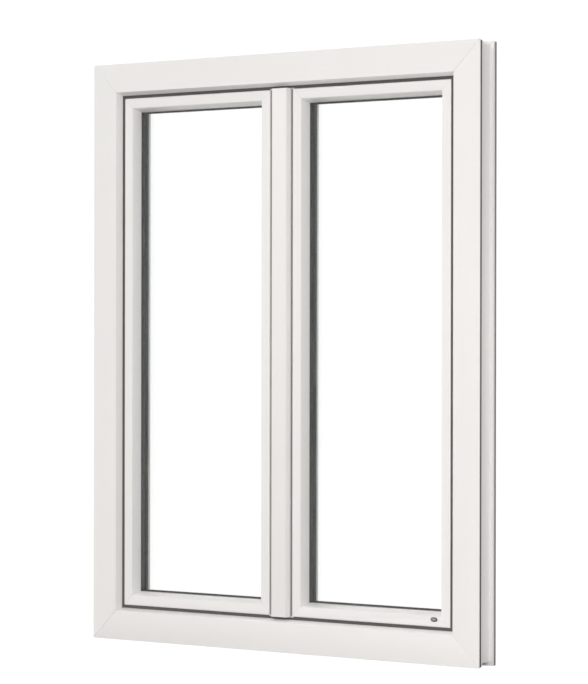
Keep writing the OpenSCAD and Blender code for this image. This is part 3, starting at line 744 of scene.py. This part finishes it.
@dataclass
class Workshop:
    """Dresses pieces and keeps the names of the CAD nodes that they replace."""

    finishes: Finishes
    dressed: set[str] = field(default_factory=set)

    def add(
        self, piece: bpy.types.Object, body: Body, finish: str,
        replaces: tuple[str, ...] = (), slot: str = "",
    ) -> bpy.types.Object:
        """Gives a piece its finish and body, and hides the CAD nodes that it stands for.

        Args:
            piece: The finished piece.
            body: The body that it rides on.
            finish: Its finish.
            replaces: The CAD nodes that it replaces.
            slot: Not used.

        Returns:
            The piece.
        """
        piece.data.materials.clear()
        piece.data.materials.append(self.finishes.get(finish))
        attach(piece, body.value)
        if replaces:
            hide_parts(*replaces)
            self.dressed.update(replaces)
        LOG.info("%s: %d faces, rides on %s", piece.name, len(piece.data.polygons), body.value)
        return piece

    def finished(
        self, node: str, body: Body, finish: str, width: float, segments: int = 3,
        slot: str = "", mitre: float = 0.0,
    ) -> bpy.types.Object:
        """Replaces a CAD node by a copy with rounded edges.

        Args:
            node: The CAD node.
            body: The body that it rides on.
            finish: Its finish.
            width: The width of the rounding.
            segments: The rounding's steps.
            slot: The record's slot, where it isn't the finish's name.
            mitre: The width of the cleaned weld's groove at a mitred end, where there is one.

        Returns:
            The finished copy.
        """
        piece = cad_copy(node, f"{node}_finished")
        if mitre > 0.0:
            open_mitre(piece, mitre)
        round_edges(piece, width, segments)
        return self.add(piece, body, finish, (node,), slot)

    def dress_nodes(self) -> None:
        """Gives each CAD node that still shows the finish of its slot."""
        slots = {part["node"]: part["material_slot"] for part in frame["record"]["subparts"]}
        for node, piece in frame["nodes"].items():
            if node in self.dressed:
                continue
            finish = self.finishes.get(slots[node])
            if not piece.material_slots:
                piece.data.materials.append(finish)
            for place in piece.material_slots:
                place.material = finish
            LOG.info("%s: CAD node dressed as %s", node, slots[node])


# ---------- the window ----------


@dataclass
class OuterFrame:
    """The fixed frame: four mitred members, the seal and the fixed hardware."""

    shop: Workshop
    edge: float = 0.7 * MM
    mitre: float = 1.3 * MM
    seal_edge: float = 0.35 * MM
    keep_edge: float = 0.5 * MM
    strip_wide: float = 5.0 * MM
    strip_deep: float = 3.6 * MM
    strip_edge: float = 0.8 * MM
    strip_inset: float = 0.3 * MM
    members: tuple[str, ...] = ("frame_head", "frame_sill", "frame_left_jamb", "frame_right_jamb")

    def build(self) -> None:
        """Builds the members with softened edges and welded mitres, and the seal."""
        for node in self.members:
            self.shop.finished(node, Body.FRAME, "white_profile", self.edge, mitre=self.mitre)
        self.rear_shade_strip()
        self.shop.finished("frame_seal", Body.FRAME, "seal_rubber", self.seal_edge, 2)
        # A black tape in the frame's front channel: a dark strip that paints the shade lying in that
        # channel.
        self.shop.finished("perimeter_tape", Body.FRAME, "seal_rubber", self.seal_edge, 2)
        self.shop.finished("bolt_keeps", Body.FRAME, "zinc_steel", self.keep_edge, 2)

    def rear_shade_strip(self) -> None:
        """Lays a grey strip round the outer edge of the frame's rear face, as painted shade along that
        edge.
        """
        low = node_box("frame_left_jamb")[0]
        high = node_box("frame_right_jamb")[1]
        inset = Vector((self.strip_inset, 0.0, self.strip_inset))
        strip = box_block(
            "rear_edge_shade_strip", Vector((low.x, high.y, low.z)) + inset,
            Vector((high.x, high.y + self.strip_deep, high.z)) - inset,
        )
        select_faces(strip, faces_side(Side.OUTSIDE, Side.INSIDE))
        bpy.ops.mesh.inset(thickness=self.strip_wide, use_individual=True)
        bpy.ops.mesh.bridge_edge_loops()
        bpy.ops.object.mode_set(mode="OBJECT")
        round_edges(strip, self.strip_edge, 2)
        # Grey, as painted shade along the frame's rear edge.
        self.shop.add(strip, Body.FRAME, "painted_shade_grey", slot="seal_rubber")


@dataclass
class Leaf:
    """One glazed leaf."""

    shop: Workshop
    prefix: str
    body: Body
    stiles: tuple[str, ...]
    edge: float = 0.7 * MM
    mitre: float = 1.0 * MM
    bead_edge: float = 0.5 * MM
    seal_edge: float = 0.5 * MM
    spacer_margin: float = 2.5 * MM
    spacer_relief: float = 0.6 * MM
    glass_arris: float = 0.5 * MM
    glass_play: float = 0.05 * MM

    def build(self) -> None:
        """Builds the leaf's profiles, beads, glass and seals."""
        for part in ("top_rail", "bottom_rail", *self.stiles):
            node = f"{self.prefix}_{part}"
            self.shop.finished(node, self.body, "white_profile", self.edge, mitre=self.mitre)
        for part in ("side_beads", "end_beads"):
            self.shop.finished(f"{self.prefix}_{part}", self.body, "white_profile", self.bead_edge)
        for part in ("glazing_gaskets", "overlap_seal"):
            self.shop.finished(f"{self.prefix}_{part}", self.body, "seal_rubber", self.seal_edge, 2)
        for part in ("outer_glass", "inner_glass"):
            self.pane(f"{self.prefix}_{part}")
        self.spacer()

    def pane(self, node: str) -> None:
        """Builds one pane with ground edges, a hair thinner than its CAD node so that no faces meet.

        Args:
            node: The pane's CAD node.
        """
        low, high = node_box(node)
        play = Vector((0.0, self.glass_play, 0.0))
        pane = box_block(f"{node}_pane", low + play, high - play)
        apply_modifier(pane, "BEVEL", width=self.glass_arris, segments=1, limit_method="NONE")
        self.shop.add(pane, self.body, "glass", (node,))

    def spacer(self) -> None:
        """Builds the hollow spacer bar, with a shallow channel along its visible face."""
        node = f"{self.prefix}_glass_spacer"
        bar = cad_copy(node, f"{node}_bar")
        low, high = node_box(node)
        middle = (low + high) / 2

        def looks_inwards(face: bpy.types.MeshPolygon) -> bool:
            """Tells whether a face looks towards the middle of the pane."""
            inwards = face.normal.xz.dot((middle - face.center).xz)
            return abs(face.normal.y) < 1.0 - SQUARE_ON and inwards > 0.0

        select_faces(bar, looks_inwards)
        bpy.ops.mesh.inset(thickness=self.spacer_margin, use_boundary=True, use_even_offset=True)
        bpy.ops.mesh.extrude_region_shrink_fatten(
            TRANSFORM_OT_shrink_fatten={"value": self.spacer_relief}
        )
        bpy.ops.object.mode_set(mode="OBJECT")
        smooth(bar)
        self.shop.add(bar, self.body, "spacer_bar", (node,))


@dataclass
class Mullion:
    """The floating mullion on the passive leaf."""

    shop: Workshop
    edge: float = 0.8 * MM
    cap_edge: float = 0.5 * MM
    keep_edge: float = 0.4 * MM
    seal_edge: float = 0.2 * MM

    def build(self) -> None:
        """Builds the bar with softened edges, its caps and its seals."""
        self.shop.finished("floating_mullion", Body.PASSIVE, "white_profile", self.edge)
        self.shop.finished("mullion_end_caps", Body.PASSIVE, "black_plastic", self.cap_edge, 2)
        # The seals beside the bar are mid grey as painted shade of the gaps between the bar and the
        # leaves.
        for node, body in (("mullion_seals", Body.PASSIVE), ("active_meeting_seal", Body.ACTIVE)):
            self.shop.finished(node, body, "painted_shade_grey", self.seal_edge, 2, "seal_rubber")
        self.shop.finished("lock_keeps", Body.PASSIVE, "zinc_steel", self.keep_edge, 2)


@dataclass
class HandleSet:
    """The lever handle on its rose, on the active leaf's inside face."""

    shop: Workshop
    rose_edge: float = 1.2 * MM
    collar_wide: float = 3.2 * MM
    collar_deep: float = 1.2 * MM
    collar_wall: float = 0.5 * MM
    collar_edge: float = 0.3 * MM
    neck_radius: float = 8.0 * MM
    neck_length: float = 14.0 * MM
    neck_play: float = 0.2 * MM

    # height, depth, half thickness and half width in millimetres, and tip in degrees
    SECTIONS = (
        (0.0, 20.0, 8.0, 8.0, 0.0),
        (1.0, 24.0, 7.8, 8.0, 12.0),
        (4.0, 28.5, 7.2, 7.9, 35.0),
        (10.0, 32.6, 6.0, 7.8, 62.0),
        (20.0, 34.6, 4.6, 7.8, 84.0),
        (40.0, 35.0, 3.9, 7.9, 90.0),
        (65.0, 35.0, 3.6, 7.9, 90.0),
        (90.0, 35.0, 3.4, 7.8, 90.0),
        (104.0, 34.9, 3.1, 7.4, 90.0),
        (108.5, 34.8, 2.4, 6.0, 90.0),
        (110.2, 34.7, 1.0, 3.0, 90.0),
    )

    def build(self) -> None:
        """Builds the rose and the lever."""
        self.rose()
        self.lever()

    def rose(self) -> None:
        """Builds the rose with a soft edge and a collar round the neck."""
        low, high = node_box("handle_rose")
        rose = cad_copy("handle_rose", "handle_rose_plate")
        round_edges(rose, self.rose_edge, 4)
        self.shop.add(rose, Body.ACTIVE, "handle_white", ("handle_rose",))
        centre = (low + high) / 2
        place = Vector((centre.x, high.y + self.collar_deep / 2, centre.z))
        collar = disc("rose_collar", place, self.neck_radius + self.collar_wide, self.collar_deep)
        select_faces(collar, faces_side(Side.OUTSIDE, Side.INSIDE))
        bpy.ops.mesh.inset(thickness=self.collar_wide - self.neck_play)
        bpy.ops.mesh.delete(type="FACE")
        bpy.ops.object.mode_set(mode="OBJECT")
        apply_modifier(collar, "SOLIDIFY", thickness=self.collar_wall, offset=-1.0)
        round_edges(collar, self.collar_edge, 2)
        self.shop.add(collar, Body.ACTIVE, "handle_white")

    def lever(self) -> None:
        """Builds the lever: a neck that sweeps into a tapered, rounded grip, pointing up."""
        low, high = node_box("handle_lever")
        axis_x = (low.x + high.x) / 2
        axis_z = low.z + self.neck_radius
        start_y = low.y
        neck = Vector((axis_x, start_y + self.neck_length / 2, axis_z))
        lever = disc("handle_lever_grip", neck, self.neck_radius, self.neck_length, 24)
        select_faces(lever, faces_side(Side.INSIDE))
        at = Vector((0.0, self.neck_length / MM))
        size = Vector((self.neck_radius, self.neck_radius)) / MM
        turned = 0.0
        for up, back, half_thick, half_wide, turn in self.SECTIONS:
            bpy.ops.mesh.extrude_region_move()
            bpy.ops.transform.translate(value=(0.0, (back - at.y) * MM, (up - at.x) * MM))
            centre = Vector((axis_x, start_y + back * MM, axis_z + up * MM))
            flatten_section(centre, turned, turn, half_thick / size.x, half_wide / size.y)
            at, size, turned = Vector((up, back)), Vector((half_thick, half_wide)), turn
        bpy.ops.object.mode_set(mode="OBJECT")
        apply_modifier(lever, "SUBSURF", levels=1, render_levels=1)
        smooth(lever, 60.0)
        self.shop.add(lever, Body.HANDLE, "handle_white", ("handle_lever",))


def flatten_section(centre: Vector, turned: float, turn: float, thick: float, wide: float) -> None:
    """Scales the selected ring of the lever in its own plane and tips it forward.

    Args:
        centre: The ring's centre.
        turned: The ring's present tip about X, in degrees.
        turn: The tip that it gets.
        thick: The factor across the lever's thickness.
        wide: The factor across its width.
    """
    rotate_about_x(-turned, centre)
    bpy.ops.transform.resize(value=(wide, 1.0, thick), center_override=centre)
    rotate_about_x(turn, centre)


def rotate_about_x(degrees: float, centre: Vector) -> None:
    """Turns the selection about X through a centre.

    Args:
        degrees: The turn; positive tips a ring that faces inside so that it faces up.
        centre: The turn's centre.
    """
    if abs(degrees) > 0.01:
        bpy.ops.transform.rotate(
            value=LEVER_TURN_SIGN * math.radians(degrees), orient_axis="X", center_override=centre
        )


@dataclass
class Hinges:
    """The four hinges. The pins get more play than in the CAD model, as their sides are flats here."""

    shop: Workshop
    edge: float = 0.6 * MM
    pin_play: float = 0.12 * MM

    def build(self) -> None:
        """Builds the hinge halves and pins with softened edges."""
        for node, body in (
            ("frame_left_hinges", Body.FRAME),
            ("frame_right_hinges", Body.FRAME),
            ("active_hinge_leaves", Body.ACTIVE),
            ("passive_hinge_leaves", Body.PASSIVE),
        ):
            self.shop.finished(node, body, "hinge_white", self.edge)
        pins = self.shop.finished("hinge_pins", Body.FRAME, "zinc_steel", self.edge)
        apply_modifier(pins, "DISPLACE", strength=-self.pin_play, mid_level=0.0)


@dataclass
class Badge:
    """The plain oval cap on the bottom rail's exterior face."""

    shop: Workshop
    sides: int = 40
    rim: float = 1.8 * MM
    dish: float = 0.5 * MM
    edge: float = 0.2 * MM
    plate: float = 0.35 * MM
    plate_gap: float = 0.3 * MM
    plate_edge: float = 0.12 * MM

    def build(self) -> None:
        """Builds the cap: a dark oval dish with a raised rim, and a metal plate in it."""
        low, high = node_box("blank_badge")
        centre, half = (low + high) / 2, (high - low) / 2
        cap = self.oval("blank_badge_cap", centre, half, high.y - low.y)
        select_faces(cap, faces_side(Side.OUTSIDE))
        bpy.ops.mesh.inset(thickness=self.rim)
        bpy.ops.mesh.extrude_region_move()
        bpy.ops.transform.translate(value=(0.0, self.dish, 0.0))
        bpy.ops.object.mode_set(mode="OBJECT")
        round_edges(cap, self.edge, 2)
        self.shop.add(cap, Body.ACTIVE, "badge_grey", ("blank_badge",))
        margin = self.rim + self.plate_gap
        place = Vector((centre.x, low.y + self.dish - self.plate / 2, centre.z))
        plate = self.oval("badge_plate", place, half - Vector((margin, 0.0, margin)), self.plate)
        round_edges(plate, self.plate_edge, 2)
        self.shop.add(plate, Body.ACTIVE, "zinc_steel", slot="badge_grey")

    def oval(self, name: str, centre: Vector, half: Vector, depth: float) -> bpy.types.Object:
        """Adds an oval plate that faces along Y.

        Args:
            name: The plate's name.
            centre: Its centre.
            half: Its half width on X and half height on Z.
            depth: Its depth.

        Returns:
            The plate.
        """
        plate = disc(name, centre, half.z, depth, self.sides)
        stretch = (half.x / half.z, 1.0, 1.0)
        edit(plate, lambda: bpy.ops.transform.resize(value=stretch, center_override=centre))
        return plate


# ---------- studio ----------


@dataclass(frozen=True)
class Lamp:
    """A square soft lamp."""

    name: str
    place: tuple[float, float, float]
    aim: tuple[float, float, float]
    size: float
    power: float
    color: tuple[float, float, float] = (1.0, 1.0, 1.0)
    mirrored: bool = True


@dataclass
class Studio:
    """Floor, light and camera. The camera's place is given from the frame's height."""

    azimuth: float = 34.89
    pitch: float = 0.086
    roll: float = 0.094
    distance: float = 4.578
    aim_right: float = 0.0340
    aim_up: float = 0.0178
    lens: float = 145.05
    sensor: float = 36.0
    sky: float = 0.675
    from_front: float = 0.12
    from_top: float = 0.20
    from_right: float = -0.13
    white_ground: float = 1.05
    floor_size: float = 60.0
    floor_gap: float = 0.5 * MM
    floor_color: tuple[float, float, float] = (0.45, 0.445, 0.44)
    floor_roughness: float = 0.8
    floor_glow: float = 1.08

    LAMPS = (
        Lamp("key_lamp", (-4.5, -7.0, 6.5), (0.0, 0.0, 0.7), 3.0, 120.0, (1.0, 0.985, 0.965)),
        Lamp("fill_lamp", (1.8, -3.2, 0.1), (0.0, 0.0, 0.6), 1.0, 61.0, (1.0, 0.98, 0.96)),
        Lamp("side_lamp", (1.25, 0.1, 0.72), (0.55, 0.03, 0.72), 0.3, 0.45, (1.0, 0.98, 0.96)),
        Lamp("back_lamp", (-1.0, 3.5, 2.6), (0.0, 0.0, 0.7), 2.0, 60.0, (1.0, 0.99, 0.97), False),
    )

    def build(self) -> None:
        """Builds the floor, the light and the camera."""
        bpy.context.scene.view_settings.view_transform = "Standard"
        self.floor()
        self.world()
        self.lamps()
        self.camera()

    def lamps(self) -> None:
        """Sets up a large far lamp on the left, a low one in front, and weak ones beside and behind."""
        for lamp in self.LAMPS:
            data = bpy.data.lights.new(lamp.name, "AREA")
            data.energy = lamp.power
            data.size = lamp.size
            data.color = lamp.color
            light = bpy.data.objects.new(lamp.name, data)
            light.visible_glossy = lamp.mirrored
            bpy.context.collection.objects.link(light)
            aim = Vector(lamp.aim) - Vector(lamp.place)
            turn = aim.to_track_quat("-Z", "Y").to_matrix().to_4x4()
            light.matrix_world = Matrix.Translation(lamp.place) @ turn

    def camera(self) -> None:
        """Places the camera at the window's right, level with its middle."""
        low, high = node_box("frame_left_jamb")
        height = high.z - low.z
        turn, tip, roll = (math.radians(a) for a in (self.azimuth, self.pitch, self.roll))
        ahead = Vector((-math.sin(turn) * math.cos(tip), math.cos(turn) * math.cos(tip), -math.sin(tip)))
        right = Vector((math.cos(turn), math.sin(turn), 0.0))
        up = right.cross(ahead)
        rolled = right * math.cos(roll) + up * math.sin(roll)
        upright = up * math.cos(roll) - right * math.sin(roll)
        target = Vector((self.aim_right * height, low.y, (low.z + high.z) / 2 + self.aim_up * height))
        place = target - ahead * (self.distance * height)
        data = bpy.data.cameras.new("camera")
        data.lens = self.lens
        data.sensor_width = self.sensor
        camera = bpy.data.objects.new("camera", data)
        bpy.context.collection.objects.link(camera)
        turned = Matrix((rolled, upright, -ahead)).transposed().to_4x4()
        camera.matrix_world = Matrix.Translation(place) @ turned
        bpy.context.scene.camera = camera

    def floor(self) -> None:
        """Lays a pale floor that runs out into the white ground."""
        deselect()
        height = CAD_BOX[0][2] - self.floor_gap
        bpy.ops.mesh.primitive_plane_add(size=self.floor_size, location=(0.0, 0.0, height))
        floor = bpy.context.object
        floor.name = "studio_floor"
        surface = Surface("pale_floor")
        surface.uniform(color=(*self.floor_color, 1.0), roughness=self.floor_roughness)
        glow = surface.node("Emission", color=WHITE, strength=self.floor_glow)
        seen = surface.node("LightPath")
        either = surface.node("Math", operation="MAXIMUM")
        mix = surface.node("MixShader")
        output = surface.nodes["Material Output"]
        surface.link(seen.outputs["Is Camera Ray"], either.inputs[0])
        surface.link(seen.outputs["Is Transmission Ray"], either.inputs[1])
        surface.link(either.outputs["Value"], mix.inputs[0])
        surface.link(surface.shader.outputs["BSDF"], mix.inputs[1])
        surface.link(glow.outputs["Emission"], mix.inputs[2])
        surface.link(mix.outputs["Shader"], output.inputs["Surface"])
        floor.data.materials.append(surface.material)

    def world(self) -> None:
        """Makes a white studio that is a little brighter above and in front, and darker on the right."""
        world = bpy.data.worlds.new("studio")
        world.use_nodes = True
        bpy.context.scene.world = world
        tree = world.node_tree
        background = tree.nodes["Background"]
        background.inputs["Color"].default_value = WHITE
        place = add_node(tree, "TexCoord")
        aim = add_node(tree, "VectorMath", operation="DOT_PRODUCT")
        aim.inputs[1].default_value = (self.from_right, -self.from_front, self.from_top)
        add = add_node(tree, "Math")
        add.inputs[1].default_value = self.sky
        path = add_node(tree, "LightPath")
        either = add_node(tree, "Math", operation="MAXIMUM")
        mix = add_node(tree, "Mix", b=self.white_ground)
        tree.links.new(place.outputs["Generated"], aim.inputs[0])
        tree.links.new(aim.outputs["Value"], add.inputs[0])
        tree.links.new(path.outputs["Is Camera Ray"], either.inputs[0])
        tree.links.new(path.outputs["Is Transmission Ray"], either.inputs[1])
        tree.links.new(either.outputs["Value"], mix.inputs["Factor"])
        tree.links.new(add.outputs["Value"], mix.inputs["A"])
        tree.links.new(mix.outputs["Result"], background.inputs["Strength"])


def main() -> None:
    """Builds the window's looks and the studio."""
    logging.basicConfig(level=logging.INFO, format="%(name)s: %(message)s")
    shop = Workshop(Finishes(Groups(grain_group(), dust_and_top_light_group(), scratch_group())))
    Studio().build()
    OuterFrame(shop).build()
    Leaf(shop, "active", Body.ACTIVE, ("hinge_stile", "lock_stile")).build()
    Leaf(shop, "passive", Body.PASSIVE, ("hinge_stile", "meeting_stile")).build()
    Mullion(shop).build()
    HandleSet(shop).build()
    Hinges(shop).build()
    Badge(shop).build()
    shop.dress_nodes()


if __name__ == "__main__":
    main()
